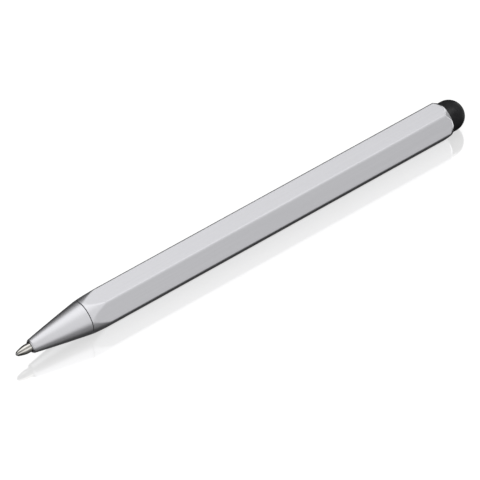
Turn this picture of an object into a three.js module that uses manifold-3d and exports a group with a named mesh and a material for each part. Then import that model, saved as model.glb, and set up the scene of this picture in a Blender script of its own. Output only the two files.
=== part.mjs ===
// Hexagonal aluminium pen with a touch tip: a ballpoint that a twist of the nose cone draws in,
// and a hollow rubber dome at the other end.
// Millimetres. The pen lies along X on one flat of its hexagon, with the writing point towards -X.
// Stations along the pen are measured from the writing ball's end, and radii from the pen's axis.

import * as THREE from "three";
import { mergeVertices } from "three/addons/utils/BufferGeometryUtils.js";
import Module from "manifold-3d";

const wasm = await Module();
wasm.setup();

// Outside of the pen
const ACROSS_FLATS = 9.5;
const CORNER_ROUNDING = 0.65;
const BARREL_LENGTH = 113.9;
const SHOULDER_LENGTH = 4.85;
const SEAM_INSET = 0.09;
const SEAM_GAP = 0.15;
const NOSE_LENGTH = 15.98;
const NOSE_MOUTH_RADIUS = 1.86;
const NOSE_SWELL = 0.06;
const MOUTH_BEVEL = 0.32;
const POINT_REACH = 4.3;
const REAR_CHAMFER_LENGTH = 1.59;
const REAR_CHAMFER_DEPTH = 0.29;
const DOME_RADIUS = 4.23;
const DOME_COLLAR = 1.71;

// Fits
const PRESS_GAP = 0.03;
const RUNNING_GAP = 0.1;
const FACE_GAP = 0.05;
const GUIDE_GAP = 0.12;

// Barrel and its ends
const BARREL_BORE_RADIUS = 3.95;
const DOME_SEAT_DEPTH = 3.9;
const DOME_SEAT_GAP = 0.06;

// Bearing of the nose
const BUSH_LENGTH = 3.7;
const BUSH_WALL = 0.5;
const WASHER_THICKNESS = 0.08;
const WASHER_INSET = 0.14;
const NOSE_THREAD_LENGTH = 5.4;
const NOSE_THREAD_RADIUS = 2.95;
const RING_GROOVE_DEPTH = 0.75;
const RING_SECTION_RADIUS = 0.36;
const CLIP_THICKNESS = 0.6;
const CLIP_OPENING = 1.1;
const CLIP_INNER_RADIUS = 2.75;
const COUPLING_END_WALL = 0.6;

// Refill
const POINT_BALL_RADIUS = 0.4;
const POINT_RIM_RADIUS = 0.47;
const POINT_RIM_STATION = 0.28;
const POINT_NECK_RADIUS = 0.63;
const POINT_NECK_STATION = 0.48;
const POINT_RADIUS = 1.22;
const POINT_CONE_LENGTH = 2.9;
const POINT_SWELL = 0.065;
const POINT_LENGTH = 12;
const POINT_SPIGOT_LENGTH = 2.5;
const POINT_SPIGOT_RADIUS = 1.1;
const TUBE_RADIUS = 1.6;
const TUBE_WALL = 0.35;
const TAIL_RADIUS = 1.5;
const TAIL_HEAD_LENGTH = 1;
const TAIL_SPIGOT_LENGTH = 2.5;
const TUBE_STOP_GAP = 0.48;

// Twist mechanism
const TRAVEL = 5.5;
const TWIST_TURN = Math.PI;
const CARRIER_RADIUS = 2.85;
const CARRIER_WALL = 0.6;
const CARRIER_SOCKET_DEPTH = 3;
const CAM_FRONT_LENGTH = 11;
const CAM_REAR_LENGTH = 5.5;
const CARRIER_REAR_MARGIN = 0.8;
const PIN_RADIUS = 0.7;
const PIN_END_GAP = 0.12;
const PIN_BEVEL = 0.15;
const SLOT_GAP = 0.1;
const PLUNGER_SOCKET_DEPTH = 5;
const PLUNGER_WEB = 1.5;
const PLUNGER_REAR_LENGTH = 1.9;
const PLUNGER_BEVEL = 0.3;

// Rear plug and touch tip
const PLUG_BODY_LENGTH = 2.6;
const PLUG_SPIGOT_LENGTH = 3.2;
const PLUG_GROOVE_WIDTH = 1;
const PLUG_GROOVE_DEPTH = 0.6;
const DOME_WALL = 0.8;
const BEAD_HEIGHT = 0.3;
const BEAD_WIDTH = 1.2;
const FOAM_GAP = 0.1;

// Fineness of the turned pieces: sides of a full turn, and steps of an arc, a taper or a slot
const TURN_SIDES = 48;
const SMALL_SIDES = 24;
const OUTSIDE_SIDES = 96;
const QUARTER_STEPS = 5;
const RING_STEPS = 6;
const TAPER_STEPS = 4;
const SLOT_STEPS = 18;

// How far a cutting tool reaches past the stock
const CUT_MARGIN = 0.5;

// Stations and radii that follow from the sizes above
const FLAT_RADIUS = ACROSS_FLATS / 2;
const HALF_SECTOR = Math.PI / 6;
const CORNER_ARC_OFFSET = (FLAT_RADIUS - CORNER_ROUNDING) / Math.cos(HALF_SECTOR);
const CORNER_RADIUS = CORNER_ARC_OFFSET + CORNER_ROUNDING;
const SEAM_RADIUS = FLAT_RADIUS - SEAM_INSET;
const NOSE_FRONT = POINT_REACH;
const NOSE_REAR = NOSE_FRONT + NOSE_LENGTH;
const BARREL_FRONT = NOSE_REAR + SEAM_GAP;
const BARREL_REAR = BARREL_FRONT + BARREL_LENGTH;
const DOME_CENTRE = BARREL_REAR + DOME_COLLAR;
const PEN_LENGTH = DOME_CENTRE + DOME_RADIUS;
const BORE_FIT_RADIUS = BARREL_BORE_RADIUS - PRESS_GAP;
const DOME_SEAT = BARREL_REAR - DOME_SEAT_DEPTH;
const PLUG_FRONT = DOME_SEAT - PLUG_BODY_LENGTH;
const CAM_REAR = PLUG_FRONT - FACE_GAP;
const CAM_INNER_RADIUS = CARRIER_RADIUS + RUNNING_GAP;
const CARRIER_REAR = CAM_REAR - CARRIER_REAR_MARGIN;
const CARRIER_INNER_RADIUS = CARRIER_RADIUS - CARRIER_WALL;
const PLUNGER_RADIUS = CARRIER_INNER_RADIUS - RUNNING_GAP;
const PIN_STATION = CAM_REAR - CAM_REAR_LENGTH - TRAVEL;
const CAM_FRONT = PIN_STATION - CAM_FRONT_LENGTH;
const SOCKET_FLOOR = PIN_STATION - PLUNGER_WEB;
const PLUNGER_FRONT = SOCKET_FLOOR - PLUNGER_SOCKET_DEPTH;
const TUBE_REAR = PLUNGER_FRONT - FACE_GAP - TAIL_HEAD_LENGTH;
const TUBE_INNER_RADIUS = TUBE_RADIUS - TUBE_WALL;
const BUSH_INNER_RADIUS = BORE_FIT_RADIUS - BUSH_WALL;
const BUSH_FRONT = BARREL_FRONT + FACE_GAP;
const BUSH_REAR = BUSH_FRONT + BUSH_LENGTH;
const JOURNAL_RADIUS = BUSH_INNER_RADIUS - RUNNING_GAP;
const CLIP_FRONT = BUSH_REAR + FACE_GAP;
const CLIP_REAR = CLIP_FRONT + CLIP_THICKNESS;
const SOCKET_FRONT = CLIP_REAR + FACE_GAP + COUPLING_END_WALL;
const COUPLING_REAR = SOCKET_FRONT + CARRIER_SOCKET_DEPTH;
const REFILL_PASSAGE_RADIUS = TUBE_RADIUS + 2 * GUIDE_GAP;
const NOSE_THREAD_FRONT = NOSE_REAR - NOSE_THREAD_LENGTH;
const DOME_INNER_RADIUS = DOME_RADIUS - DOME_WALL;
const SPIGOT_REAR = DOME_SEAT + PLUG_SPIGOT_LENGTH;
const BEAD_STATION = (DOME_SEAT + SPIGOT_REAR) / 2;

// A lathe turn about the pen's axis: each profile point is a station and a radius.
function turned(profile, sides = TURN_SIDES) {
  const points = profile.map(([station, radius]) => new THREE.Vector2(radius, station));
  return new THREE.LatheGeometry(points, sides).rotateZ(-Math.PI / 2);
}

// A ring whose section is the closed outline, walked so that its faces point out.
function turnedRing(outline, sides = TURN_SIDES) {
  return turned([...outline, outline[0]], sides);
}

// A plain sleeve between two stations.
function sleeve(front, rear, inner, outer, sides = TURN_SIDES) {
  return turnedRing([[front, inner], [front, outer], [rear, outer], [rear, inner]], sides);
}

// A plain round bar between two stations.
function bar(front, rear, radius, sides = TURN_SIDES) {
  return turned([[front, 0], [front, radius], [rear, radius], [rear, 0]], sides);
}

// Points of an arc round a centre on a profile, from one angle to another, in radians from the axis.
function arc(station, radius, size, from, to, steps = QUARTER_STEPS) {
  return Array.from({ length: steps + 1 }, (_, i) => {
    const angle = from + ((to - from) * i) / steps;
    return [station + size * Math.cos(angle), radius + size * Math.sin(angle)];
  });
}

// Points of a taper between two stations and radii, with a slight swell in its middle.
function swollenTaper(front, rear, frontRadius, rearRadius, swell) {
  return Array.from({ length: TAPER_STEPS + 1 }, (_, i) => {
    const along = i / TAPER_STEPS;
    const straight = frontRadius + (rearRadius - frontRadius) * along;
    return [front + (rear - front) * along, straight + swell * 4 * along * (1 - along)];
  });
}

// The closed solid of a geometry, for cuts and joins.
function solid(geometry) {
  const bare = geometry.clone();
  bare.deleteAttribute("normal");
  bare.deleteAttribute("uv");
  const merged = mergeVertices(bare);
  const triVerts = new Uint32Array(merged.index.array);
  const vertProperties = merged.attributes.position.array;
  return new wasm.Manifold(new wasm.Mesh({ numProp: 3, vertProperties, triVerts }));
}

// The geometry of a solid, with flat-shaded faces.
function geometryOf(manifold) {
  const mesh = manifold.getMesh();
  const geometry = new THREE.BufferGeometry();
  geometry.setAttribute("position", new THREE.BufferAttribute(mesh.vertProperties, 3));
  geometry.setIndex(new THREE.BufferAttribute(mesh.triVerts, 1));
  const flat = geometry.toNonIndexed();
  flat.computeVertexNormals();
  return flat;
}

function cut(blank, ...tools) {
  return geometryOf(tools.reduce((rest, tool) => rest.subtract(solid(tool)), solid(blank)));
}

// The hexagonal bar with rounded corners, lying on a flat.
function hexagonalBar(front, rear) {
  const section = new THREE.Shape();
  for (let corner = 0; corner < 6; corner++) {
    const angle = HALF_SECTOR * (2 * corner + 1);
    const x = CORNER_ARC_OFFSET * Math.cos(angle);
    const y = CORNER_ARC_OFFSET * Math.sin(angle);
    section.absarc(x, y, CORNER_ROUNDING, angle - HALF_SECTOR, angle + HALF_SECTOR);
  }
  section.closePath();
  const options = { depth: rear - front, bevelEnabled: false, curveSegments: 2 };
  return new THREE.ExtrudeGeometry(section, options).rotateY(Math.PI / 2).translate(front, 0, 0);
}

// The turned envelope that gives the hexagon its conical shoulder and its rear chamfer.
function barrelEnvelope() {
  const shoulderRear = BARREL_FRONT + SHOULDER_LENGTH;
  const chamferFront = BARREL_REAR - REAR_CHAMFER_LENGTH;
  const rimRadius = FLAT_RADIUS - REAR_CHAMFER_DEPTH;
  const clear = CORNER_RADIUS + CORNER_ROUNDING;
  const shoulderSlope = (CORNER_RADIUS - SEAM_RADIUS) / SHOULDER_LENGTH;
  const chamferSlope = (CORNER_RADIUS - rimRadius) / REAR_CHAMFER_LENGTH;
  return turned(
    [
      [BARREL_FRONT, 0],
      [BARREL_FRONT, SEAM_RADIUS],
      [shoulderRear + (clear - CORNER_RADIUS) / shoulderSlope, clear],
      [chamferFront - (clear - CORNER_RADIUS) / chamferSlope, clear],
      [BARREL_REAR, rimRadius],
      [BARREL_REAR, 0],
    ],
    OUTSIDE_SIDES,
  );
}

// Hexagonal tube: a through bore, and a wider seat for the dome's skirt at the rear.
function barrel() {
  const outside = solid(hexagonalBar(BARREL_FRONT, BARREL_REAR)).intersect(solid(barrelEnvelope()));
  const bore = bar(BARREL_FRONT - CUT_MARGIN, BARREL_REAR + CUT_MARGIN, BARREL_BORE_RADIUS);
  const seat = bar(DOME_SEAT, BARREL_REAR + CUT_MARGIN, DOME_RADIUS + DOME_SEAT_GAP);
  return geometryOf(outside.subtract(solid(bore)).subtract(solid(seat)));
}

// Nose cone: a guide bore for the point, a clearance bore for the tube and a thread for the collar.
function noseCone() {
  const guideRadius = POINT_RADIUS + GUIDE_GAP;
  const guideRear = POINT_LENGTH - TUBE_STOP_GAP;
  const bevelRear = NOSE_FRONT + MOUTH_BEVEL;
  return turnedRing([
    [NOSE_FRONT, guideRadius],
    [NOSE_FRONT, NOSE_MOUTH_RADIUS - MOUTH_BEVEL],
    ...swollenTaper(bevelRear, NOSE_REAR, NOSE_MOUTH_RADIUS, SEAM_RADIUS, NOSE_SWELL),
    [NOSE_REAR, NOSE_THREAD_RADIUS],
    [NOSE_THREAD_FRONT, NOSE_THREAD_RADIUS],
    [NOSE_THREAD_FRONT, REFILL_PASSAGE_RADIUS],
    [guideRear, REFILL_PASSAGE_RADIUS],
    [guideRear, guideRadius],
  ]);
}

function seamWasher() {
  const front = NOSE_REAR + (SEAM_GAP - WASHER_THICKNESS) / 2;
  const inner = JOURNAL_RADIUS + PRESS_GAP;
  return sleeve(front, front + WASHER_THICKNESS, inner, SEAM_RADIUS - WASHER_INSET);
}

// Collar that joins the nose cone to the carrier: a thread spigot, a journal with a ring groove,
// a groove for the clip and a socket for the carrier.
function noseCoupling() {
  const spigotRadius = NOSE_THREAD_RADIUS - PRESS_GAP;
  const grooveMiddle = (BUSH_FRONT + BUSH_REAR) / 2;
  const grooveHalf = RING_SECTION_RADIUS + PRESS_GAP;
  const grooveRadius = JOURNAL_RADIUS - RING_GROOVE_DEPTH;
  const clipSeatRadius = CLIP_INNER_RADIUS - PRESS_GAP;
  const socketRadius = CARRIER_RADIUS + PRESS_GAP;
  return turnedRing([
    [NOSE_THREAD_FRONT + FACE_GAP, REFILL_PASSAGE_RADIUS],
    [NOSE_THREAD_FRONT + FACE_GAP, spigotRadius],
    [NOSE_REAR, spigotRadius],
    [NOSE_REAR, JOURNAL_RADIUS],
    [grooveMiddle - grooveHalf, JOURNAL_RADIUS],
    [grooveMiddle - grooveHalf, grooveRadius],
    [grooveMiddle + grooveHalf, grooveRadius],
    [grooveMiddle + grooveHalf, JOURNAL_RADIUS],
    [CLIP_FRONT - FACE_GAP, JOURNAL_RADIUS],
    [CLIP_FRONT - FACE_GAP, clipSeatRadius],
    [CLIP_REAR + FACE_GAP, clipSeatRadius],
    [CLIP_REAR + FACE_GAP, JOURNAL_RADIUS],
    [COUPLING_REAR, JOURNAL_RADIUS],
    [COUPLING_REAR, socketRadius],
    [SOCKET_FRONT, socketRadius],
    [SOCKET_FRONT, REFILL_PASSAGE_RADIUS],
  ]);
}

// A rubber ring of round section, seated on a groove floor.
function rubberRing(station, floorRadius, sectionRadius) {
  const centre = floorRadius + PRESS_GAP + sectionRadius;
  const section = arc(station, centre, sectionRadius, Math.PI, -Math.PI, RING_STEPS);
  return turnedRing(section.slice(0, -1));
}

function frictionRing() {
  const grooveRadius = JOURNAL_RADIUS - RING_GROOVE_DEPTH;
  return rubberRing((BUSH_FRONT + BUSH_REAR) / 2, grooveRadius, RING_SECTION_RADIUS);
}

// Open spring clip behind the bush.
function retainingRing() {
  const outer = BARREL_BORE_RADIUS - RUNNING_GAP * 2;
  const blank = sleeve(CLIP_FRONT, CLIP_REAR, CLIP_INNER_RADIUS, outer);
  const opening = new THREE.BoxGeometry(CLIP_THICKNESS + 2 * CUT_MARGIN, CLIP_OPENING, 2 * outer);
  opening.translate((CLIP_FRONT + CLIP_REAR) / 2, 0, outer);
  return cut(blank, opening);
}

function frontBush() {
  return sleeve(BUSH_FRONT, BUSH_REAR, BUSH_INNER_RADIUS, BORE_FIT_RADIUS);
}

// Long tube turned by the nose: two straight slots let the cross pin slide.
function carrierSleeve() {
  const reach = PIN_RADIUS + SLOT_GAP;
  const blank = sleeve(SOCKET_FRONT + FACE_GAP, CARRIER_REAR, CARRIER_INNER_RADIUS, CARRIER_RADIUS);
  const height = 2 * (CARRIER_RADIUS + CUT_MARGIN);
  const slot = new THREE.BoxGeometry(TRAVEL + 2 * reach, 2 * reach, height);
  slot.translate(PIN_STATION + TRAVEL / 2, 0, 0);
  return cut(blank, slot);
}

// Cutter of one helical slot. It starts at the pin's angle and climbs by the travel over the twist.
function helicalSlot(startAngle) {
  const inner = CAM_INNER_RADIUS - CUT_MARGIN;
  const outer = BORE_FIT_RADIUS + CUT_MARGIN;
  const reach = PIN_RADIUS + SLOT_GAP;
  const climb = TRAVEL / TWIST_TURN;
  const halfWidth = reach * Math.hypot(1, climb / CAM_INNER_RADIUS);
  const endAngle = Math.asin((reach + SLOT_GAP) / CAM_INNER_RADIUS);
  const positions = [];
  const section = (i) => {
    const turn = -endAngle + ((TWIST_TURN + 2 * endAngle) * i) / SLOT_STEPS;
    const station = PIN_STATION + climb * turn;
    const angle = startAngle + turn;
    const [y, z] = [Math.cos(angle), Math.sin(angle)];
    return [
      [station - halfWidth, inner * y, inner * z],
      [station + halfWidth, inner * y, inner * z],
      [station + halfWidth, outer * y, outer * z],
      [station - halfWidth, outer * y, outer * z],
    ];
  };
  const quad = (a, b, c, d) => positions.push(...a, ...b, ...c, ...a, ...c, ...d);
  for (let i = 0; i < SLOT_STEPS; i++) {
    const near = section(i);
    const far = section(i + 1);
    for (let side = 0; side < 4; side++) {
      const next = (side + 1) % 4;
      quad(near[side], near[next], far[next], far[side]);
    }
  }
  const first = section(0);
  const last = section(SLOT_STEPS);
  quad(first[3], first[2], first[1], first[0]);
  quad(last[0], last[1], last[2], last[3]);
  const geometry = new THREE.BufferGeometry();
  geometry.setAttribute("position", new THREE.Float32BufferAttribute(positions, 3));
  return geometry;
}

// Fixed sleeve in the barrel: the pin's two ends climb in its two helical slots.
function camSleeve() {
  const blank = sleeve(CAM_FRONT, CAM_REAR, CAM_INNER_RADIUS, BORE_FIT_RADIUS);
  return cut(blank, helicalSlot(Math.PI / 2), helicalSlot(-Math.PI / 2));
}

// Slider in the carrier: a socket for the refill's tail in front and a cross hole for the pin.
// Its edges are bevelled, so that it doesn't catch on the carrier's slots.
function plunger() {
  const rear = PIN_STATION + PLUNGER_REAR_LENGTH;
  const socketRadius = TAIL_RADIUS + PRESS_GAP;
  const blank = turned([
    [SOCKET_FLOOR, 0],
    [SOCKET_FLOOR, socketRadius],
    [PLUNGER_FRONT, socketRadius],
    [PLUNGER_FRONT, PLUNGER_RADIUS - PLUNGER_BEVEL],
    [PLUNGER_FRONT + PLUNGER_BEVEL, PLUNGER_RADIUS],
    [rear - PLUNGER_BEVEL, PLUNGER_RADIUS],
    [rear, PLUNGER_RADIUS - PLUNGER_BEVEL],
    [rear, 0],
  ]);
  return cut(blank, pinHole());
}

// Cutter of the plunger's cross hole, along Z.
function pinHole() {
  const reach = PLUNGER_RADIUS + CUT_MARGIN;
  return bar(-reach, reach, PIN_RADIUS + PRESS_GAP, SMALL_SIDES)
    .rotateY(Math.PI / 2)
    .translate(PIN_STATION, 0, 0);
}

// Steel pin along Z, with bevelled ends that run in the cam's slots.
function crossPin() {
  const end = BARREL_BORE_RADIUS - PIN_END_GAP;
  const profile = [
    [-end, 0],
    [-end, PIN_RADIUS - PIN_BEVEL],
    [PIN_BEVEL - end, PIN_RADIUS],
    [end - PIN_BEVEL, PIN_RADIUS],
    [end, PIN_RADIUS - PIN_BEVEL],
    [end, 0],
  ];
  return turned(profile, SMALL_SIDES).rotateY(Math.PI / 2).translate(PIN_STATION, 0, 0);
}

// Writing point: a ball socket with a rolled rim, a swollen cone, and a spigot pushed into the tube.
function refillTip() {
  const socketRadius = POINT_BALL_RADIUS + PRESS_GAP;
  const rimAngle = Math.acos((POINT_BALL_RADIUS - POINT_RIM_STATION) / socketRadius);
  const socket = arc(POINT_BALL_RADIUS, 0, socketRadius, 0, Math.PI - rimAngle);
  socket[0] = [socket[0][0], 0];
  return turned(
    [
      ...socket,
      [POINT_RIM_STATION, POINT_RIM_RADIUS],
      ...swollenTaper(POINT_NECK_STATION, POINT_CONE_LENGTH, POINT_NECK_RADIUS, POINT_RADIUS, POINT_SWELL),
      [POINT_LENGTH - FACE_GAP, POINT_RADIUS],
      [POINT_LENGTH - FACE_GAP, POINT_SPIGOT_RADIUS],
      [POINT_LENGTH + POINT_SPIGOT_LENGTH, POINT_SPIGOT_RADIUS],
      [POINT_LENGTH + POINT_SPIGOT_LENGTH, 0],
    ],
    SMALL_SIDES,
  );
}

function writingBall() {
  const profile = arc(POINT_BALL_RADIUS, 0, POINT_BALL_RADIUS, Math.PI, 0, 2 * QUARTER_STEPS);
  profile[0] = [profile[0][0], 0];
  profile[profile.length - 1] = [profile.at(-1)[0], 0];
  return turned(profile, SMALL_SIDES);
}

function refillTube() {
  return sleeve(POINT_LENGTH, TUBE_REAR, TUBE_INNER_RADIUS, TUBE_RADIUS, SMALL_SIDES);
}

// Ink between the point's spigot and the tail's.
function inkColumn() {
  const front = POINT_LENGTH + POINT_SPIGOT_LENGTH + FACE_GAP;
  const rear = TUBE_REAR - TAIL_SPIGOT_LENGTH - FACE_GAP;
  return bar(front, rear, TUBE_INNER_RADIUS - PRESS_GAP, SMALL_SIDES);
}

// Tail plug of the refill: a spigot in the tube, a head, and a screw in the plunger's socket.
function refillTail() {
  const spigotRadius = TUBE_INNER_RADIUS - PRESS_GAP;
  return turned([
    [TUBE_REAR - TAIL_SPIGOT_LENGTH, 0],
    [TUBE_REAR - TAIL_SPIGOT_LENGTH, spigotRadius],
    [TUBE_REAR + FACE_GAP, spigotRadius],
    [TUBE_REAR + FACE_GAP, TUBE_RADIUS],
    [TUBE_REAR + TAIL_HEAD_LENGTH, TUBE_RADIUS],
    [TUBE_REAR + TAIL_HEAD_LENGTH, TAIL_RADIUS],
    [SOCKET_FLOOR - FACE_GAP, TAIL_RADIUS],
    [SOCKET_FLOOR - FACE_GAP, 0],
  ]);
}

// Plug pressed into the barrel behind the cam: a groove for the rubber ring, and a spigot whose
// own groove holds the dome's bead.
function rearPlug() {
  const grooveFront = PLUG_FRONT + (PLUG_BODY_LENGTH - PLUG_GROOVE_WIDTH) / 2;
  const grooveRear = grooveFront + PLUG_GROOVE_WIDTH;
  const grooveRadius = BORE_FIT_RADIUS - PLUG_GROOVE_DEPTH;
  const spigotRadius = DOME_INNER_RADIUS - PRESS_GAP;
  const beadGrooveHalf = BEAD_WIDTH / 2 + PRESS_GAP;
  return turned([
    [PLUG_FRONT, 0],
    [PLUG_FRONT, BORE_FIT_RADIUS],
    [grooveFront, BORE_FIT_RADIUS],
    [grooveFront, grooveRadius],
    [grooveRear, grooveRadius],
    [grooveRear, BORE_FIT_RADIUS],
    [DOME_SEAT, BORE_FIT_RADIUS],
    [DOME_SEAT, spigotRadius],
    [BEAD_STATION - beadGrooveHalf, spigotRadius],
    [BEAD_STATION, spigotRadius - BEAD_HEIGHT],
    [BEAD_STATION + beadGrooveHalf, spigotRadius],
    [SPIGOT_REAR, spigotRadius],
    [SPIGOT_REAR, 0],
  ]);
}

function plugRing() {
  const section = PLUG_GROOVE_DEPTH / 2 - PRESS_GAP;
  const station = PLUG_FRONT + PLUG_BODY_LENGTH / 2;
  return rubberRing(station, BORE_FIT_RADIUS - PLUG_GROOVE_DEPTH, section);
}

// Hollow rubber dome: a skirt in the barrel's seat with a bead inside, a collar and a half sphere.
function stylusDome() {
  const front = DOME_SEAT + FACE_GAP;
  return turned([
    ...arc(DOME_CENTRE, 0, DOME_INNER_RADIUS, 0, Math.PI / 2),
    [BEAD_STATION + BEAD_WIDTH / 2, DOME_INNER_RADIUS],
    [BEAD_STATION, DOME_INNER_RADIUS - BEAD_HEIGHT],
    [BEAD_STATION - BEAD_WIDTH / 2, DOME_INNER_RADIUS],
    [front, DOME_INNER_RADIUS],
    [front, DOME_RADIUS],
    ...arc(DOME_CENTRE, 0, DOME_RADIUS, Math.PI / 2, 0, 2 * QUARTER_STEPS),
  ]);
}

// Soft core that fills the dome behind the plug's spigot.
function stylusFoam() {
  const front = SPIGOT_REAR + FACE_GAP;
  const radius = DOME_INNER_RADIUS - FOAM_GAP;
  return turned([
    [front, 0],
    [front, radius],
    ...arc(DOME_CENTRE, 0, radius, Math.PI / 2, 0),
  ]);
}

const FINISHES = {
  aluminium: { color: 0xc9c9cf, roughness: 0.38, metalness: 0.9 },
  brass: { color: 0xb8964f, roughness: 0.35, metalness: 0.9 },
  steel: { color: 0x9a9ca0, roughness: 0.3, metalness: 1 },
  nickel: { color: 0xcfc8bc, roughness: 0.22, metalness: 1 },
  plastic: { color: 0xe4e2da, roughness: 0.5, metalness: 0 },
  rubber: { color: 0x17181a, roughness: 0.75, metalness: 0 },
  foam: { color: 0x33353a, roughness: 0.95, metalness: 0 },
  ink: { color: 0x14193c, roughness: 0.2, metalness: 0 },
};

// The pen's own frame has its origin under the middle of its length, on the surface it lies on.
const pen = new THREE.Group();
pen.position.set(-PEN_LENGTH / 2, 0, FLAT_RADIUS);

function place(name, geometry, finish) {
  const mesh = new THREE.Mesh(geometry, new THREE.MeshStandardMaterial(FINISHES[finish]));
  mesh.name = name;
  pen.add(mesh);
}

place("barrel", barrel(), "aluminium");
place("front_bush", frontBush(), "brass");
place("cam_sleeve", camSleeve(), "plastic");
place("rear_plug", rearPlug(), "brass");
place("plug_ring", plugRing(), "rubber");
place("stylus_foam", stylusFoam(), "foam");
place("stylus_dome", stylusDome(), "rubber");

place("nose_cone", noseCone(), "aluminium");
place("seam_washer", seamWasher(), "rubber");
place("nose_coupling", noseCoupling(), "brass");
place("friction_ring", frictionRing(), "rubber");
place("retaining_ring", retainingRing(), "steel");
place("carrier_sleeve", carrierSleeve(), "brass");

place("plunger", plunger(), "plastic");
place("cross_pin", crossPin(), "steel");
place("refill_tube", refillTube(), "brass");
place("ink_column", inkColumn(), "ink");
place("refill_tail", refillTail(), "plastic");
place("refill_tip", refillTip(), "nickel");
place("writing_ball", writingBall(), "steel");

export default pen;
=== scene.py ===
# %% [markdown]
# A hexagonal aluminium pen lies on one of its flats. A ballpoint sticks out of its conical nose,
# and a black rubber dome for touchscreens closes the other end.
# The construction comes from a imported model, the frame: every piece in it has its real size and
# place, and moves with one of three bodies: the barrel, the nose and the cartridge.
# This lesson dresses that frame. The five pieces that show most get finer meshes, and every piece
# gets a finish made of shader nodes. All lengths are in metres, with Z up.

# %% Load the frame
import math

import bmesh
import bpy
from mathutils import Matrix, Vector


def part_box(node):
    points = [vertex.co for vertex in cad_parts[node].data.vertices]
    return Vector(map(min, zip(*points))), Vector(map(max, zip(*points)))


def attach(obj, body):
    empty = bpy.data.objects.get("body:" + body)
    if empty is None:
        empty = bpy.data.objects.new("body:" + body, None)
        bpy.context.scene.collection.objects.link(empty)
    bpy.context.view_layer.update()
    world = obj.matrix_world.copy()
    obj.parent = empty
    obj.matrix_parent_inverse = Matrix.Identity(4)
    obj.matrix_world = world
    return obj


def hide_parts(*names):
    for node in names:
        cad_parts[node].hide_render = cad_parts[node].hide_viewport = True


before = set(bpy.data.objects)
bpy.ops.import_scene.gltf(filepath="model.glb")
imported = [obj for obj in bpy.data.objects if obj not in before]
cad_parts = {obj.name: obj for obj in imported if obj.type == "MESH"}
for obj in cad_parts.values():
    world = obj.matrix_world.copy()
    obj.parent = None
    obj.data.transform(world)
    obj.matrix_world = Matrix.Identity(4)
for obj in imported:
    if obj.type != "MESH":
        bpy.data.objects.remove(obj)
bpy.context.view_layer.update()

MM = 0.001

# %% [markdown]
# The camera comes first. It stands where the photographer stood, which was worked out by fitting
# a pinhole camera to the pen's edges: far off, with a long lens, so the pen hardly narrows.
# A camera looks along its own -Z, and to_track_quat turns that axis towards the pen while it
# keeps the camera's top up. The picture is square. Blender wants the lens and the sensor's width
# in millimetres.

# %% Camera
CAMERA_PLACE = Vector((-520.10, -700.43, 977.44)) * MM
CAMERA_AZIMUTH = math.radians(-36.54)
CAMERA_ELEVATION = math.radians(48.23)
CAMERA_LENS = 387.47
SENSOR_WIDTH = 36
SIGHT_LIMIT = 10

camera_data = bpy.data.cameras.new("product_camera")
camera_data.lens = CAMERA_LENS
camera_data.sensor_width = SENSOR_WIDTH
camera_data.clip_end = SIGHT_LIMIT
camera = bpy.data.objects.new("product_camera", camera_data)
backwards = Vector((
    math.sin(CAMERA_AZIMUTH) * math.cos(CAMERA_ELEVATION),
    -math.cos(CAMERA_AZIMUTH) * math.cos(CAMERA_ELEVATION),
    math.sin(CAMERA_ELEVATION),
))
camera.location = CAMERA_PLACE
camera.rotation_mode = "QUATERNION"
camera.rotation_quaternion = (-backwards).to_track_quat("-Z", "Y")
bpy.context.scene.collection.objects.link(camera)
bpy.context.scene.camera = camera
print("camera distance in mm:", round(CAMERA_PLACE.length / MM))

# %% [markdown]
# From the boxes come the pen's axis, the hexagon's size, and the stations along X where one
# piece ends and the next begins.

# %% Sizes read from the frame
barrel_low, barrel_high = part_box("barrel")
cone_low, cone_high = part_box("nose_cone")
dome_low, dome_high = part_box("stylus_dome")
point_low, point_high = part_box("refill_tip")
ball_low, ball_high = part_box("writing_ball")

AXIS_HEIGHT = (barrel_low[2] + barrel_high[2]) / 2
FLAT_RADIUS = (barrel_high[2] - barrel_low[2]) / 2
CORNER_RADIUS = (barrel_high[1] - barrel_low[1]) / 2
SEAM_RADIUS = (cone_high[2] - cone_low[2]) / 2
DOME_RADIUS = (dome_high[2] - dome_low[2]) / 2
POINT_RADIUS = (point_high[2] - point_low[2]) / 2
BALL_RADIUS = (ball_high[0] - ball_low[0]) / 2
PEN_FRONT = ball_low[0]
print("across flats", round(2 * FLAT_RADIUS / MM, 2), "mm, dome", round(2 * DOME_RADIUS / MM, 2), "mm")

# %% [markdown]
# Most pieces of a pen are turned on a lathe, so their shape is one profile: pairs of a station
# along the axis and a radius. Blender's Screw modifier could spin such a profile, but a small
# function gives full control of the rings and closes the ends without doubled points.
# A machined part never has a razor edge, so each sharp corner of a profile is broken with a
# little arc, and that arc is what catches the light along a rim.

# %% Turning a profile
EASING_STEPS = 4
EASING_SHARE = 0.45
NEARLY_STRAIGHT = math.radians(168)
ON_THE_AXIS = 1e-7
RING_SIDES = 160
CRISP_EDGE = 30


def eased(profile, radius, closed=False):
    """The profile with its corners replaced by short arcs; the ends of an open one stay.

    An arc takes no more than its share of the edges beside it.
    """
    points = [Vector(p) for p in profile]
    count = len(points)
    out = []
    for i, here in enumerate(points):
        if not closed and i in (0, count - 1):
            out.append(here)
            continue
        before = points[i - 1] - here
        after = points[(i + 1) % count] - here
        opening = before.angle(after)
        if opening > NEARLY_STRAIGHT:
            out.append(here)
            continue
        longest = EASING_SHARE * min(before.length, after.length)
        reach = min(radius / math.tan(opening / 2), longest)
        start = here + before.normalized() * reach
        end = here + after.normalized() * reach
        for step in range(EASING_STEPS + 1):
            t = step / EASING_STEPS
            out.append(start * (1 - t) ** 2 + here * 2 * t * (1 - t) + end * t ** 2)
    return out


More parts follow.
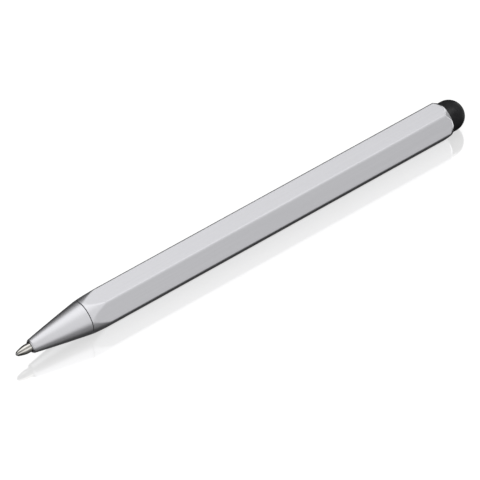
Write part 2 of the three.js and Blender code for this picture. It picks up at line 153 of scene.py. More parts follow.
def finish_mesh(name, bm, body, node, sharp=CRISP_EDGE):
    """Turns a bmesh into a smooth-shaded piece that rides on a body and stands for a node.

    Edges that turn by more than sharp, in degrees, stay crisp.
    """
    bmesh.ops.recalc_face_normals(bm, faces=bm.faces)
    mesh = bpy.data.meshes.new(name)
    bm.to_mesh(mesh)
    bm.free()
    for face in mesh.polygons:
        face.use_smooth = True
    mesh.set_sharp_from_angle(angle=math.radians(sharp))
    piece = bpy.data.objects.new(name, mesh)
    bpy.context.scene.collection.objects.link(piece)
    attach(piece, body)
    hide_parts(node)
    print(name, len(mesh.polygons), "faces")
    return piece


def ring_point(bm, station, radius, angle):
    """One point at an angle round the pen's axis."""
    return bm.verts.new((station, radius * math.cos(angle), AXIS_HEIGHT + radius * math.sin(angle)))


def ring_of(bm, station, radius, sides):
    """One ring of points round the pen's axis, or a single point on the axis."""
    if radius < ON_THE_AXIS:
        return [bm.verts.new((station, 0, AXIS_HEIGHT))]
    angles = [i * (2 * math.pi / sides) for i in range(sides)]
    return [ring_point(bm, station, radius, angle) for angle in angles]


def bridge(bm, first, second):
    """Faces between two rings; a ring of one point makes a fan."""
    sides = max(len(first), len(second))
    for i in range(sides):
        j = (i + 1) % sides
        corners = [
            first[i % len(first)], first[j % len(first)],
            second[j % len(second)], second[i % len(second)],
        ]
        unique = list(dict.fromkeys(corners))
        if len(unique) > 2:
            bm.faces.new(unique)


def turned(name, profile, body, node, sides=RING_SIDES, closed=False):
    """A lathe-turned piece from its profile; a closed profile goes back to where it began."""
    bm = bmesh.new()
    rings = [ring_of(bm, station, radius, sides) for station, radius in profile]
    pairs = list(zip(rings, rings[1:]))
    if closed:
        pairs.append((rings[-1], rings[0]))
    for first, second in pairs:
        bridge(bm, first, second)
    return finish_mesh(name, bm, body, node)

# %% [markdown]
# The barrel starts as an extruded hexagonal bar with softly rounded corners. A lathe then cuts a
# cone on its front end and a chamfer on its rear, and where the cone runs out into the flats it
# leaves the row of arches that tells a turned hexagon from a moulded one.
# A boolean would give those arches ragged edges. Here the surface is a grid instead: at each
# angle and station the radius is the smaller of the hexagon's and the lathe cut's, and a smooth
# minimum rolls the edge between them.

# %% Radius of the hexagon and of the lathe cut
CORNER_ROUNDING = 0.65 * MM
SHOULDER_LENGTH = 4.85 * MM
CHAMFER_LENGTH = 1.59 * MM
CHAMFER_DEPTH = 0.29 * MM
EDGE_ROLL = 0.1 * MM
CORNERS = 6
SECTOR = 2 * math.pi / CORNERS
BARREL_FRONT, BARREL_REAR = barrel_low[0], barrel_high[0]
REAR_RIM_RADIUS = FLAT_RADIUS - CHAMFER_DEPTH
ARC_CENTRE = CORNER_RADIUS - CORNER_ROUNDING
ARC_END = math.atan2(
    CORNER_ROUNDING * math.sin(SECTOR / 2),
    ARC_CENTRE + CORNER_ROUNDING * math.cos(SECTOR / 2),
)


def hexagon_radius(angle):
    """Distance from the axis to the rounded hexagon; corners lie at multiples of 60 degrees."""
    from_corner = abs((angle + SECTOR / 2) % SECTOR - SECTOR / 2)
    if from_corner > ARC_END:
        return FLAT_RADIUS / math.cos(SECTOR / 2 - from_corner)
    across = ARC_CENTRE * math.sin(from_corner)
    return ARC_CENTRE * math.cos(from_corner) + math.sqrt(CORNER_ROUNDING ** 2 - across ** 2)


def lathe_radius(station):
    """Radius that the lathe tool leaves at a station: the shoulder's cone and the rear chamfer."""
    shoulder = (station - BARREL_FRONT) / SHOULDER_LENGTH
    chamfer = (BARREL_REAR - station) / CHAMFER_LENGTH
    front = SEAM_RADIUS + (CORNER_RADIUS - SEAM_RADIUS) * shoulder
    rear = REAR_RIM_RADIUS + (CORNER_RADIUS - REAR_RIM_RADIUS) * chamfer
    return min(front, rear)


def smooth_minimum(a, b, width):
    """The smaller of two values, with the crease between them rolled over a width."""
    mix = max(width - abs(a - b), 0) / width
    return min(a, b) - mix * mix * width / 4


print("each corner's arc reaches", round(math.degrees(ARC_END), 1), "degrees to either side")

# %% [markdown]
# The grid needs columns close together at the six corners and rows close together at both ends,
# a little past the shoulder and the chamfer. In the middle the hexagon is straight, so a few rows
# are enough there.

# %% Barrel mesh
BORE_RADIUS = 3.95 * MM
DOME_SEAT_DEPTH = 3.9 * MM
DOME_SEAT_GAP = 0.06 * MM
RIM_ROLL = 0.09 * MM
BORE_EASING = 0.05 * MM
BARREL_CRISP_EDGE = 40
ARC_COLUMNS = 12
FLAT_COLUMNS = 30
SHOULDER_ROWS = 66
MIDDLE_ROWS = 8
CHAMFER_ROWS = 36
PAST_SHOULDER = 1.08
PAST_CHAMFER = 1.12


def corner_angles():
    """Angles of the columns: fine steps round each corner, wider ones across each flat."""
    angles = []
    for corner in range(CORNERS):
        middle = corner * SECTOR
        angles += [middle - ARC_END + 2 * ARC_END * i / ARC_COLUMNS for i in range(ARC_COLUMNS)]
        flat_start = middle + ARC_END
        flat_width = SECTOR - 2 * ARC_END
        angles += [flat_start + flat_width * i / FLAT_COLUMNS for i in range(FLAT_COLUMNS)]
    return angles


def barrel_stations():
    """Stations of the rows: 0.08 mm apart on the shoulder and 0.05 mm on the chamfer."""
    fine_length = PAST_SHOULDER * SHOULDER_LENGTH
    shoulder = [BARREL_FRONT + fine_length * i / SHOULDER_ROWS for i in range(SHOULDER_ROWS + 1)]
    start = BARREL_REAR - PAST_CHAMFER * CHAMFER_LENGTH
    middle = [shoulder[-1] + (start - shoulder[-1]) * i / MIDDLE_ROWS for i in range(1, MIDDLE_ROWS)]
    chamfer = [start + (BARREL_REAR - start) * i / CHAMFER_ROWS for i in range(CHAMFER_ROWS + 1)]
    return shoulder + middle + chamfer


def barrel_mesh():
    """The whole barrel as one closed grid: outside, rear seat of the dome, and bore."""
    bm = bmesh.new()
    angles = corner_angles()

    def ring(station, radius_at):
        """One row of the grid; radius_at gives the radius for an angle."""
        return [ring_point(bm, station, radius_at(a), a) for a in angles]

    def outside(station):
        """The outer radius at a station, as a function of the angle."""
        rim = min(station - BARREL_FRONT, BARREL_REAR - station)
        roll = RIM_ROLL * max(0, 1 - rim / RIM_ROLL) ** 2
        return lambda a: smooth_minimum(hexagon_radius(a), lathe_radius(station), EDGE_ROLL) - roll

    rings = [ring(s, outside(s)) for s in barrel_stations()]
    seat = DOME_RADIUS + DOME_SEAT_GAP
    seat_station = BARREL_REAR - DOME_SEAT_DEPTH
    inner = eased(
        [(BARREL_REAR, seat + RIM_ROLL / 2), (BARREL_REAR - RIM_ROLL, seat), (seat_station, seat),
         (seat_station, BORE_RADIUS), (BARREL_FRONT + RIM_ROLL, BORE_RADIUS),
         (BARREL_FRONT, BORE_RADIUS + RIM_ROLL)],
        BORE_EASING,
    )
    rings += [ring(s, lambda a, r=r: r) for s, r in inner]
    for first, second in zip(rings, rings[1:] + rings[:1]):
        bridge(bm, first, second)
    return finish_mesh("hexagonal_barrel", bm, "barrel", "barrel", sharp=BARREL_CRISP_EDGE)


hexagonal_barrel = barrel_mesh()

# %% [markdown]
# The nose cone carries the shoulder's line on to the writing point. It has a slight swell, so it
# looks full where a straight cone would look starved, and a flat lip round the opening. Only the
# front of its bore can be seen, but the inside is turned too: the point's guide, the passage of the
# refill's tube and the bore of the thread.

# %% Nose cone
CONE_FRONT, CONE_REAR = cone_low[0], cone_high[0]
MOUTH_RADIUS = 1.86 * MM
MOUTH_BEVEL = 0.32 * MM
CONE_SWELL = 0.06 * MM
GUIDE_GAP = 0.12 * MM
THREAD_RADIUS = 2.95 * MM
THREAD_LENGTH = 5.4 * MM
GUIDE_LENGTH = 7.22 * MM
TUBE_PASSAGE_RADIUS = 1.84 * MM
CONE_EASING = 0.07 * MM
CONE_ROWS = 28


def swollen_taper(front, rear, front_radius, rear_radius, swell, rows):
    """Stations and radii of a taper that is slightly fuller in its middle than a straight one."""
    taper = []
    for i in range(rows + 1):
        along = i / rows
        straight = front_radius + (rear_radius - front_radius) * along
        taper.append((front + (rear - front) * along, straight + swell * 4 * along * (1 - along)))
    return taper


def cone_profile():
    """The nose cone from its mouth over the outside to the thread, and back through the guide."""
    outside = swollen_taper(
        CONE_FRONT + MOUTH_BEVEL, CONE_REAR, MOUTH_RADIUS, SEAM_RADIUS, CONE_SWELL, CONE_ROWS
    )
    outside[-1] = (CONE_REAR - RIM_ROLL / 2, outside[-1][1])
    guide = POINT_RADIUS + GUIDE_GAP
    guide_bevel = MOUTH_BEVEL / 4
    return [
        (CONE_FRONT, guide + guide_bevel),
        (CONE_FRONT, MOUTH_RADIUS - MOUTH_BEVEL),
        *outside,
        (CONE_REAR, SEAM_RADIUS - RIM_ROLL),
        (CONE_REAR, THREAD_RADIUS),
        (CONE_REAR - THREAD_LENGTH, THREAD_RADIUS),
        (CONE_REAR - THREAD_LENGTH, TUBE_PASSAGE_RADIUS),
        (CONE_FRONT + GUIDE_LENGTH, TUBE_PASSAGE_RADIUS),
        (CONE_FRONT + GUIDE_LENGTH, guide),
        (CONE_FRONT + guide_bevel, guide),
    ]


eased_cone = eased(cone_profile(), CONE_EASING, closed=True)
nose_cone_shell = turned("nose_cone_shell", eased_cone, "nose", "nose_cone", closed=True)

# %% [markdown]
# The writing point is a tiny turned tube with a ball crimped into its end. Its cone gets steeper
# near the ball, and the crimp leaves a thin bright collar there. The ball is under a millimetre
# across and a turned piece of its own.

# %% Writing point and ball
POINT_FRONT, POINT_REAR = point_low[0], point_high[0]
BALL_CENTRE = (ball_low[0] + ball_high[0]) / 2
NECK_STATION = 0.48 * MM
NECK_RADIUS = 0.63 * MM
RIM_RADIUS = 0.47 * MM
POINT_CONE_LENGTH = 2.9 * MM
POINT_SWELL = 0.065 * MM
POINT_SHOULDER = 11.95 * MM
SPIGOT_RADIUS = 1.1 * MM
SOCKET_GAP = 0.03 * MM
POINT_EASING = 0.12 * MM
CUP_ROWS = 10
POINT_ROWS = 10
BALL_ROWS = 24
POINT_SIDES = 96
BALL_SIDES = 48


def arc(centre, radius, angles):
    """Stations and radii on a circle round a point of the axis; angle 0 is its rear end."""
    return [(centre + radius * math.cos(a), radius * math.sin(a)) for a in angles]


def point_profile():
    """The writing point from the bottom of the ball's cup over the outside to its rear end."""
    socket = BALL_RADIUS + SOCKET_GAP
    opening = math.acos((BALL_CENTRE - POINT_FRONT) / socket)
    cup = arc(BALL_CENTRE, socket, [(math.pi - opening) * i / CUP_ROWS for i in range(CUP_ROWS + 1)])
    neck = PEN_FRONT + NECK_STATION
    cone_end = PEN_FRONT + POINT_CONE_LENGTH
    cone = swollen_taper(neck, cone_end, NECK_RADIUS, POINT_RADIUS, POINT_SWELL, POINT_ROWS)
    return [
        *cup,
        (POINT_FRONT, RIM_RADIUS),
        *cone,
        (PEN_FRONT + POINT_SHOULDER, POINT_RADIUS),
        (PEN_FRONT + POINT_SHOULDER, SPIGOT_RADIUS),
        (POINT_REAR, SPIGOT_RADIUS),
        (POINT_REAR, 0),
    ]


eased_point = eased(point_profile(), POINT_EASING)
writing_point = turned("writing_point", eased_point, "cartridge", "refill_tip", sides=POINT_SIDES)

half_turn = [math.pi * i / BALL_ROWS for i in range(BALL_ROWS + 1)]
ball_profile = [(BALL_CENTRE - BALL_RADIUS * math.cos(a), BALL_RADIUS * math.sin(a)) for a in half_turn]
polished_ball = turned("polished_ball", ball_profile, "cartridge", "writing_ball", sides=BALL_SIDES)

# %% [markdown]
# The touch tip is a hollow dome of soft conductive rubber. Its skirt sits inside the barrel's rim
# and only a short collar and the half sphere stand out. It is turned from one profile: the hollow,
# the skirt with its eased end, and the half sphere outside.

# %% Touch dome
DOME_WALL = 0.8 * MM
DOME_CENTRE = dome_high[0] - DOME_RADIUS
SKIRT_EASING = 0.15 * MM
DOME_ROWS = 20
DOME_SIDES = 128


def dome_profile():
    """The dome from the crown of its hollow round the skirt's end to the crown outside."""
    inner = DOME_RADIUS - DOME_WALL
    quarter = [math.pi / 2 * i / DOME_ROWS for i in range(DOME_ROWS + 1)]
    hollow = arc(DOME_CENTRE, inner, quarter)
    outside = arc(DOME_CENTRE, DOME_RADIUS, reversed(quarter))
    skirt = eased(
        [(DOME_CENTRE, inner), (dome_low[0], inner), (dome_low[0], DOME_RADIUS),
         (DOME_CENTRE, DOME_RADIUS)],
        SKIRT_EASING,
    )
    return [*hollow, *skirt[1:-1], *outside]


touch_dome = turned("touch_dome", dome_profile(), "barrel", "stylus_dome", sides=DOME_SIDES)

# %% [markdown]
# A finish is a material made of shader nodes. All of them start the same way, so one helper makes
# a Principled shader with the values that are the same all over, and the others add grain: noise in
# the piece's own coordinates, stretched along or round the pen, which drives the colour, the
# roughness and a very small bump. Scales are in features per metre, because the coordinates are
# metres.

# %% Helpers for finishes
NOISE_LOW = 0.3
NOISE_HIGH = 0.7


def even(value):
    """The same value three times: an even scale, or a grey."""
    return (value, value, value)


def new_finish(name, colour, metallic, roughness):
    """A node material with one Principled shader."""
    material = bpy.data.materials.new(name)
    material.use_nodes = True
    shader = material.node_tree.nodes["Principled BSDF"]
    shader.inputs["Base Color"].default_value = (*colour, 1)
    shader.inputs["Metallic"].default_value = metallic
    shader.inputs["Roughness"].default_value = roughness
    return material, shader


def node_of(material, kind, **values):
    """A new node with its properties set."""
    node = material.node_tree.nodes.new(kind)
    for key, value in values.items():
        setattr(node, key, value)
    return node


def stretched_noise(material, scale, detail):
    """Noise in the piece's own coordinates, with its own scale along each axis."""
    links = material.node_tree.links
    place = node_of(material, "ShaderNodeTexCoord")
    mapping = node_of(material, "ShaderNodeMapping")
    mapping.inputs["Scale"].default_value = scale
    noise = node_of(material, "ShaderNodeTexNoise")
    noise.inputs["Scale"].default_value = 1
    noise.inputs["Detail"].default_value = detail
    links.new(place.outputs["Object"], mapping.inputs["Vector"])
    links.new(mapping.outputs["Vector"], noise.inputs["Vector"])
    return noise.outputs["Fac"]


def spread(material, factor, low, high, floor=NOISE_LOW, ceiling=NOISE_HIGH):
    """Maps the middle of a noise to a range of values."""
    ramp = node_of(material, "ShaderNodeMapRange")
    ramp.inputs["From Min"].default_value = floor
    ramp.inputs["From Max"].default_value = ceiling
    ramp.inputs["To Min"].default_value = low
    ramp.inputs["To Max"].default_value = high
    material.node_tree.links.new(factor, ramp.inputs["Value"])
    return ramp.outputs["Result"]


def vary_roughness(material, shader, factor, roughness, below, above):
    """Lets a factor drive the roughness, from so much below its value to so much above it."""
    rough = spread(material, factor, roughness - below, roughness + above)
    material.node_tree.links.new(rough, shader.inputs["Roughness"])


def emboss(material, shader, height, distance, strength):
    """Adds a bump from a height, with its depth in metres."""
    bump = node_of(material, "ShaderNodeBump")
    bump.inputs["Distance"].default_value = distance
    bump.inputs["Strength"].default_value = strength
    material.node_tree.links.new(height, bump.inputs["Height"])
    material.node_tree.links.new(bump.outputs["Normal"], shader.inputs["Normal"])


def tint(material, shader, factor, dark, light, floor=NOISE_LOW, ceiling=NOISE_HIGH):
    """Mixes two colours by a factor into the base colour."""
    mix = node_of(material, "ShaderNodeMix", data_type="RGBA")
    mix.inputs["A"].default_value = (*dark, 1)
    mix.inputs["B"].default_value = (*light, 1)
    material.node_tree.links.new(spread(material, factor, 0, 1, floor, ceiling), mix.inputs["Factor"])
    material.node_tree.links.new(mix.outputs["Result"], shader.inputs["Base Color"])

# %% [markdown]
# The silver parts are aluminium, bead blasted and anodised. Blasting leaves a fine even grain with
# no direction, and drawing the bar leaves faint streaks along its flats. The turned cone and
# shoulder keep very fine rings round the axis, and the rear chamfer is cut last, so it is brighter.
# Noise stretched along X gives the streaks, and noise squeezed along X gives the rings.

# %% Anodised aluminium
SILVER_DARK = (0.78, 0.78, 0.81)
SILVER_LIGHT = (0.83, 0.83, 0.86)
SATIN_ROUGHNESS = 0.36
CUT_ROUGHNESS = 0.2
BLAST_GRAIN = 9000
BLAST_DEPTH = 0.004 * MM
BAR_STREAKS = (40, 1500, 1500)
LATHE_RINGS = (6000, 120, 120)
DRAWN, TURNED, BRIGHT_CUT = 0, 1, 2
CUT_BELOW_FLATS = 0.03 * MM
RIM_MARGIN = 0.1 * MM


def anodised(name, stretch, roughness):
    """Satin anodised aluminium; stretch sets the direction of its marks."""
    material, shader = new_finish(name, SILVER_LIGHT, 1.0, roughness)
    marks = stretched_noise(material, stretch, detail=4)
    blast = stretched_noise(material, even(BLAST_GRAIN), detail=2)
    tint(material, shader, marks, SILVER_DARK, SILVER_LIGHT, floor=0.25, ceiling=0.75)
    vary_roughness(material, shader, marks, roughness, below=0.015, above=0.025)
    emboss(material, shader, blast, BLAST_DEPTH, strength=0.5)
    return material


drawn_silver = anodised("drawn_silver", BAR_STREAKS, SATIN_ROUGHNESS)
turned_silver = anodised("turned_silver", LATHE_RINGS, SATIN_ROUGHNESS)
cut_silver = anodised("cut_silver", LATHE_RINGS, CUT_ROUGHNESS)

for silver in (drawn_silver, turned_silver, cut_silver):
    hexagonal_barrel.data.materials.append(silver)
nose_cone_shell.data.materials.append(turned_silver)


def mark_turned_faces(piece):
    """Gives the turned finish to the shoulder and the bore, and the bright cut to the rear chamfer."""
    mesh = piece.data
    for face in mesh.polygons:
        x, y, z = face.center
        radius = math.hypot(y, z - AXIS_HEIGHT)
        angle = math.atan2(z - AXIS_HEIGHT, y)
        chamfered = x > BARREL_REAR - CHAMFER_LENGTH and radius > DOME_RADIUS + RIM_MARGIN
        if radius >= hexagon_radius(angle) - CUT_BELOW_FLATS:
            face.material_index = DRAWN
        elif chamfered:
            face.material_index = BRIGHT_CUT
        else:
            face.material_index = TURNED
    kinds = [face.material_index for face in mesh.polygons]
    for label, kind in (("drawn", DRAWN), ("turned", TURNED), ("bright cut", BRIGHT_CUT)):
        print("barrel faces,", label, kinds.count(kind))


mark_turned_faces(hexagonal_barrel)

# %% [markdown]
# The writing point is nickel silver, polished and slightly warm. A polished metal is as dark as
# what it mirrors, so the point gets a darker colour than the pen around it and takes its bright
# stripes from two slim lamps, further down. The ball is ground carbide and a little darker. Both
# keep fine rings from their machining, and the point's are finer than the ball's.

# %% Writing point finishes
NICKEL_SILVER = (0.36, 0.35, 0.33)
CARBIDE = (0.3, 0.3, 0.31)
POLISHED_ROUGHNESS = 0.1
RINGS_ACROSS = 200
POLISHING_DEPTH = 0.003 * MM


def polished(name, colour, roughness, rings):
    """Polished metal with rings round the pen, so many to the metre."""
    material, shader = new_finish(name, colour, 1.0, roughness)
    marks = stretched_noise(material, (rings, RINGS_ACROSS, RINGS_ACROSS), detail=3)
    vary_roughness(material, shader, marks, roughness, below=0.03, above=0.05)
    emboss(material, shader, marks, POLISHING_DEPTH, strength=0.35)
    return material


point_metal = polished("nickel_silver", NICKEL_SILVER, POLISHED_ROUGHNESS, 9000)
ball_metal = polished("ground_ball", CARBIDE, POLISHED_ROUGHNESS, 3000)
writing_point.data.materials.append(point_metal)
polished_ball.data.materials.append(ball_metal)
print("writing point:", point_metal.name, "and", ball_metal.name)

# %% [markdown]
# Touch rubber is matt black with a faint soft bloom. Real rubber is never pure black, picks up a
# little dust, and has a velvety fine grain from its mould. It mirrors very little.

# %% Rubber finishes
DUST_PATCHES = 900
DUST_LIGHTNESS = 1.5
RUBBER_GRAIN = 7000
RUBBER_GRAIN_DEPTH = 0.01 * MM
RUBBER_MIRROR = 0.06
TOUCH_BLACK = (0.006, 0.006, 0.0064)


def soft_rubber(name, colour, roughness):
    """Matt rubber with dust in soft patches and a fine grain."""
    material, shader = new_finish(name, colour, 0.0, roughness)
    dust = stretched_noise(material, even(DUST_PATCHES), detail=4)
    grain = stretched_noise(material, even(RUBBER_GRAIN), detail=2)
    lighter = tuple(c * DUST_LIGHTNESS for c in colour)
    tint(material, shader, dust, colour, lighter)
    vary_roughness(material, shader, dust, roughness, below=0.05, above=0.06)
    shader.inputs["Specular IOR Level"].default_value = RUBBER_MIRROR
    emboss(material, shader, grain, RUBBER_GRAIN_DEPTH, strength=0.5)
    return material


touch_rubber = soft_rubber("touch_rubber", TOUCH_BLACK, 0.4)
touch_dome.data.materials.append(touch_rubber)
print("touch dome:", touch_rubber.name)

# %% [markdown]
# The other pieces stay as the construction made them, because their shapes are right. One shows as
# the thin dark line in the seam, and the rest are seen only when the pen is taken apart. They still
# get finishes of their own: brass that has been turned or drawn, milky polymer, spring steel, ring
# rubber, foam and ink.

# %% Finishes of the inner pieces
TOOL_MARK_DEPTH = 0.004 * MM
MARKS_ACROSS = 80
CLOUD_PATCHES = 300
MOULD_GRAIN = 5000
MOULD_GRAIN_DEPTH = 0.008 * MM


def machined(name, dark, light, roughness, rings):
    """Metal with tool marks, so many to the metre along the pen."""
    material, shader = new_finish(name, light, 1.0, roughness)
    marks = stretched_noise(material, (rings, MARKS_ACROSS, MARKS_ACROSS), detail=4)
    tint(material, shader, marks, dark, light)
    vary_roughness(material, shader, marks, roughness, below=0.06, above=0.1)
    emboss(material, shader, marks, TOOL_MARK_DEPTH, strength=0.5)
    return material


def moulded(name, dark, light, roughness):
    """Polymer with a faint cloudy tone and a fine mould texture."""
    material, shader = new_finish(name, light, 0.0, roughness)
    cloud = stretched_noise(material, even(CLOUD_PATCHES), detail=3)
    grain = stretched_noise(material, even(MOULD_GRAIN), detail=2)
    tint(material, shader, cloud, dark, light)
    vary_roughness(material, shader, grain, roughness, below=0.05, above=0.08)
    emboss(material, shader, grain, MOULD_GRAIN_DEPTH, strength=0.4)
    return material


# The darker and the lighter colour, then the roughness, and for metal its marks to the metre.
turned_brass = machined("turned_brass", (0.62, 0.46, 0.2), (0.78, 0.6, 0.29), 0.28, 4000)
drawn_brass = machined("drawn_brass", (0.68, 0.53, 0.25), (0.82, 0.66, 0.35), 0.24, 60)
spring_steel = machined("spring_steel", (0.38, 0.39, 0.41), (0.56, 0.57, 0.59), 0.3, 3000)
milky_polymer = moulded("milky_polymer", (0.74, 0.73, 0.68), (0.86, 0.85, 0.81), 0.42)
ring_rubber = soft_rubber("ring_rubber", (0.018, 0.018, 0.018), 0.6)
core_foam = moulded("core_foam", (0.03, 0.03, 0.033), (0.06, 0.06, 0.066), 0.9)
ink_paste = moulded("ink_paste", (0.008, 0.012, 0.06), (0.012, 0.02, 0.1), 0.15)

INNER_FINISHES = {
    "front_bush": turned_brass,
    "nose_coupling": turned_brass,
    "carrier_sleeve": drawn_brass,
    "rear_plug": turned_brass,
    "refill_tube": drawn_brass,
    "cam_sleeve": milky_polymer,
    "plunger": milky_polymer,
    "refill_tail": milky_polymer,
    "cross_pin": spring_steel,
    "retaining_ring": spring_steel,
    "plug_ring": ring_rubber,
    "friction_ring": ring_rubber,
    "seam_washer": ring_rubber,
    "stylus_foam": core_foam,
    "ink_column": ink_paste,
}

for node_name, finish in INNER_FINISHES.items():
    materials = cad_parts[node_name].data.materials
    materials.clear()
    materials.append(finish)
print(len(INNER_FINISHES), "inner pieces have a finish")

# %% [markdown]
# The floor is a plain pale sheet, so bright that it comes out white. A product photographer lays
# such a pen on a white light table, glossy on top, which is why the photograph has hardly a shadow
# but a faint mirror image below the pen. The floor's shader is therefore a sum: some light of its
# own, some scattered light, which lets the pen leave a soft contact shade, and a mirror.
# The floor is hidden from the pen's own reflections. In a studio dark cards do this, and they give
# the metal its dark edges.

# %% Floor
FLOOR_HALF = 1.5
TABLE_GLOW = 0.63
TABLE_SCATTER = 0.125
TABLE_MIRROR = 0.285
TABLE_BLUR = 0.06


def floor_sheet():
    """A square sheet at height 0, hidden from mirrors."""
    bm = bmesh.new()
    corners = [(-1, -1), (1, -1), (1, 1), (-1, 1)]
    bm.faces.new([bm.verts.new((FLOOR_HALF * x, FLOOR_HALF * y, 0)) for x, y in corners])
    mesh = bpy.data.meshes.new("floor")
    bm.to_mesh(mesh)
    bm.free()
    floor = bpy.data.objects.new("floor", mesh)
    bpy.context.scene.collection.objects.link(floor)
    floor.visible_glossy = False
    return floor


def light_table():
    """The sum of a glow, scattered light and a slightly blurred mirror."""
    material = bpy.data.materials.new("light_table")
    material.use_nodes = True
    tree = material.node_tree
    tree.nodes.clear()
    glow = tree.nodes.new("ShaderNodeEmission")
    glow.inputs["Strength"].default_value = TABLE_GLOW
    scatter = tree.nodes.new("ShaderNodeBsdfDiffuse")
    scatter.inputs["Color"].default_value = (*even(TABLE_SCATTER), 1)
    mirror = tree.nodes.new("ShaderNodeBsdfGlossy")
    mirror.inputs["Color"].default_value = (*even(TABLE_MIRROR), 1)
    mirror.inputs["Roughness"].default_value = TABLE_BLUR
    both = tree.nodes.new("ShaderNodeAddShader")
    total = tree.nodes.new("ShaderNodeAddShader")
    output = tree.nodes.new("ShaderNodeOutputMaterial")
    tree.links.new(glow.outputs[0], both.inputs[0])
    tree.links.new(scatter.outputs[0], both.inputs[1])
    tree.links.new(both.outputs[0], total.inputs[0])
    tree.links.new(mirror.outputs[0], total.inputs[1])
    tree.links.new(total.outputs[0], output.inputs["Surface"])
    return material


floor = floor_sheet()
floor.data.materials.append(light_table())
print("floor sheet:", 2 * FLOOR_HALF, "m wide")

# %% [markdown]
# Satin metal is lit by what it mirrors, so the light is drawn as a picture all round the pen: the
# world. A photographer lights a long shiny thing with long lights laid parallel to it, so each light
# here is a strip. It reaches from one angle round the pen's axis to another: 0 degrees is the
# horizon on the camera's side, 90 is straight up, 180 is the horizon on the far side. The top flat
# mirrors 126 degrees, the near flat 6, and the narrow flat below it -114.
# A strip also has a reach along the pen, as the part of a direction that points along X: the writing
# point mirrors about -0.2, the nose 0.1, the flats 0.4 and the rear chamfer 0.9. The two big lights
# fade slowly along it, and that makes the flats a little darker towards the touch tip.
# overhead and front_fill are these two, for the top flat and the near one. table_edge lies just
# below the horizon, for the near side where it curves under. under_nose and far_side are for the
# nose alone, its lower and its far outline. rear_card and rear_ring stand behind the rear end, a
# bright ring round a darker middle, for the chamfer. front_card stands before the nose, for the
# bevel round its mouth. Where no strip is there is only the weak light of the room.
# The strips began as one light for each thing that the pen mirrors. They were then changed,
# render after render, to bring the tones across the pen closer to the photograph's.

# %% World light
ROOM_LIGHT = 0.02

# Start and end round the pen in degrees, start and end along it, and brightness. A start or an end
# is a pair: its place, and the width over which the light fades there. A light that goes all round
# has its ends past 180 degrees, where no direction is.
ALL_ROUND = ((-200, 10), (200, 10))
SLOW_FADE = (0.6, 1.4)
STRIP_LIGHTS = {
    "overhead": ((78, 36), (138, 24), (-0.18, 0.6), SLOW_FADE, 1.4),
    "front_fill": ((-3, 26), (78, 36), (-0.25, 0.8), SLOW_FADE, 0.98),
    "table_edge": ((-48, 28), (0, 20), (0.0, 0.1), (0.6, 0.2), 0.25),
    "under_nose": ((-150, 30), (-95, 20), (-0.1, 0.1), (0.25, 0.1), 0.7),
    "far_side": ((135, 20), (170, 20), (-0.1, 0.1), (0.3, 0.15), 0.3),
    "rear_card": (*ALL_ROUND, (0.8, 0.08), (1.1, 0.1), 0.25),
    "rear_ring": (*ALL_ROUND, (0.8, 0.08), (0.96, 0.05), 0.7),
    "front_card": ((-30, 30), (150, 30), (-1.1, 0.1), (-0.5, 0.3), 0.7),
}


def node_maths(tree, operation, first, second):
    """Joins two values by a sum, a product or another step of arithmetic."""
    step = tree.nodes.new("ShaderNodeMath")
    step.operation = operation
    for socket, value in zip(step.inputs, (first, second)):
        if isinstance(value, (int, float)):
            socket.default_value = value
        else:
            tree.links.new(value, socket)
    return step.outputs[0]


def soft_step(tree, value, before, after):
    """Rises from 0 to 1 between two values; falls where the first is the higher one."""
    step = tree.nodes.new("ShaderNodeMapRange")
    step.interpolation_type = "SMOOTHSTEP"
    step.inputs["From Min"].default_value = before
    step.inputs["From Max"].default_value = after
    tree.links.new(value, step.inputs["Value"])
    return step.outputs["Result"]


def stretch_between(tree, value, start, end):
    """1 between a start and an end, each a pair of its place and the width of its fade."""
    (low, low_fade), (high, high_fade) = start, end
    rise = soft_step(tree, value, low - low_fade / 2, low + low_fade / 2)
    fall = soft_step(tree, value, high + high_fade / 2, high - high_fade / 2)
    return node_maths(tree, "MULTIPLY", rise, fall)


def angle_round_the_pen(tree, parts):
    """The angle of a direction round the X axis, in degrees from -180 to 180."""
    towards_camera = node_maths(tree, "MULTIPLY", parts["Y"], -1)
    angle = node_maths(tree, "ARCTAN2", parts["Z"], towards_camera)
    return node_maths(tree, "MULTIPLY", angle, math.degrees(1))


def studio_world():
    """The world's light: the room and all strips added up."""
    world = bpy.data.worlds.new("studio")
    bpy.context.scene.world = world
    world.use_nodes = True
    tree = world.node_tree
    split = tree.nodes.new("ShaderNodeSeparateXYZ")
    tree.links.new(tree.nodes.new("ShaderNodeTexCoord").outputs["Generated"], split.inputs[0])
    turn = angle_round_the_pen(tree, split.outputs)
    light = ROOM_LIGHT
    for start, end, front, rear, brightness in STRIP_LIGHTS.values():
        round_pen = stretch_between(tree, turn, start, end)
        along_pen = stretch_between(tree, split.outputs["X"], front, rear)
        reach = node_maths(tree, "MULTIPLY", round_pen, along_pen)
        strip = node_maths(tree, "MULTIPLY", reach, brightness)
        light = node_maths(tree, "ADD", strip, light)
    background = tree.nodes["Background"]
    background.inputs["Strength"].default_value = 1.0
    tree.links.new(light, background.inputs["Color"])
    print(len(STRIP_LIGHTS), "strip lights round the pen")


studio_world()

# %% [markdown]
# One soft box overhead lights what scatters light: the floor and the rubber. The metal doesn't
# mirror it, because the world already draws that light. Four small lamps do the rest. Photographers
# put a tube on such a lamp so that it strikes one thing only, and here light linking does the same:
# a lamp's collection holds the pieces that it lights. One round lamp puts a soft highlight on the
# touch dome, and a bigger one shades it from the barrel's side. Two slim lamps beside the writing
# point put the two bright stripes on it, and the polished metal stays dark between them.
# A lamp is written as its direction, its length, its width and its power.
# The view transform is Standard, because the default one greys a white floor.

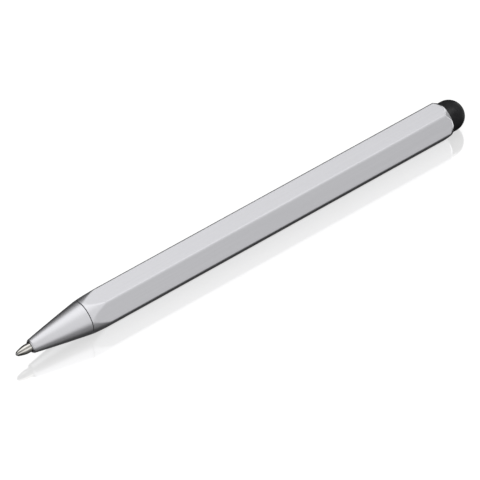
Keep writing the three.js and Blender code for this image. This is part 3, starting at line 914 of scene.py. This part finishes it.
# %% Soft box and lamps
SOFTBOX_PLACE = (0.1, -0.1, 0.9)
SOFTBOX_SIDE = 1.2
SOFTBOX_POWER = 5.5
LAMP_DISTANCE = 0.3
DOME_LAMPS = [
    ((0.36, -0.16, 0.92), 0.1, 0.1, 0.55),
    ((-0.4, 0.0, 0.92), 0.2, 0.2, 0.8),
]
POINT_LAMPS = [
    ((0.0, 0.38, 0.92), 0.36, 0.16, 0.3),
    ((0.0, -0.83, 0.55), 0.36, 0.17, 0.24),
]

softbox_data = bpy.data.lights.new("softbox", "AREA")
softbox_data.shape = "SQUARE"
softbox_data.size = SOFTBOX_SIDE
softbox_data.energy = SOFTBOX_POWER
softbox = bpy.data.objects.new("softbox", softbox_data)
softbox.location = SOFTBOX_PLACE
softbox.visible_glossy = False
bpy.context.scene.collection.objects.link(softbox)


def tubed_lamp(name, target, lamp, shape, pieces):
    """A lamp that looks at a target from a direction and lights only some pieces."""
    direction, length, width, power = lamp
    data = bpy.data.lights.new(name, "AREA")
    data.shape = shape
    data.size = length
    data.size_y = width
    data.energy = power
    light = bpy.data.objects.new(name, data)
    towards_lamp = Vector(direction).normalized()
    across = Vector((1, 0, 0)).cross(towards_lamp).normalized()
    along = across.cross(towards_lamp)
    turn = Matrix((along, across, towards_lamp)).transposed().to_4x4()
    light.matrix_world = Matrix.Translation(target + towards_lamp * LAMP_DISTANCE) @ turn
    bpy.context.scene.collection.objects.link(light)
    lit = bpy.data.collections.new("lit_by_" + name)
    for piece in pieces:
        lit.objects.link(piece)
    light.light_linking.receiver_collection = lit
    print(name, "lights", ", ".join(piece.name for piece in pieces))


dome_place = Vector((DOME_CENTRE, 0, AXIS_HEIGHT))
point_place = Vector((PEN_FRONT + POINT_CONE_LENGTH, 0, AXIS_HEIGHT))
for count, lamp in enumerate(DOME_LAMPS):
    tubed_lamp("dome_lamp_%d" % count, dome_place, lamp, "ELLIPSE", [touch_dome])
point_pieces = [writing_point, polished_ball]
for count, lamp in enumerate(POINT_LAMPS):
    tubed_lamp("point_lamp_%d" % count, point_place, lamp, "RECTANGLE", point_pieces)

bpy.context.scene.view_settings.view_transform = "Standard"
bpy.context.scene.view_settings.look = "None"
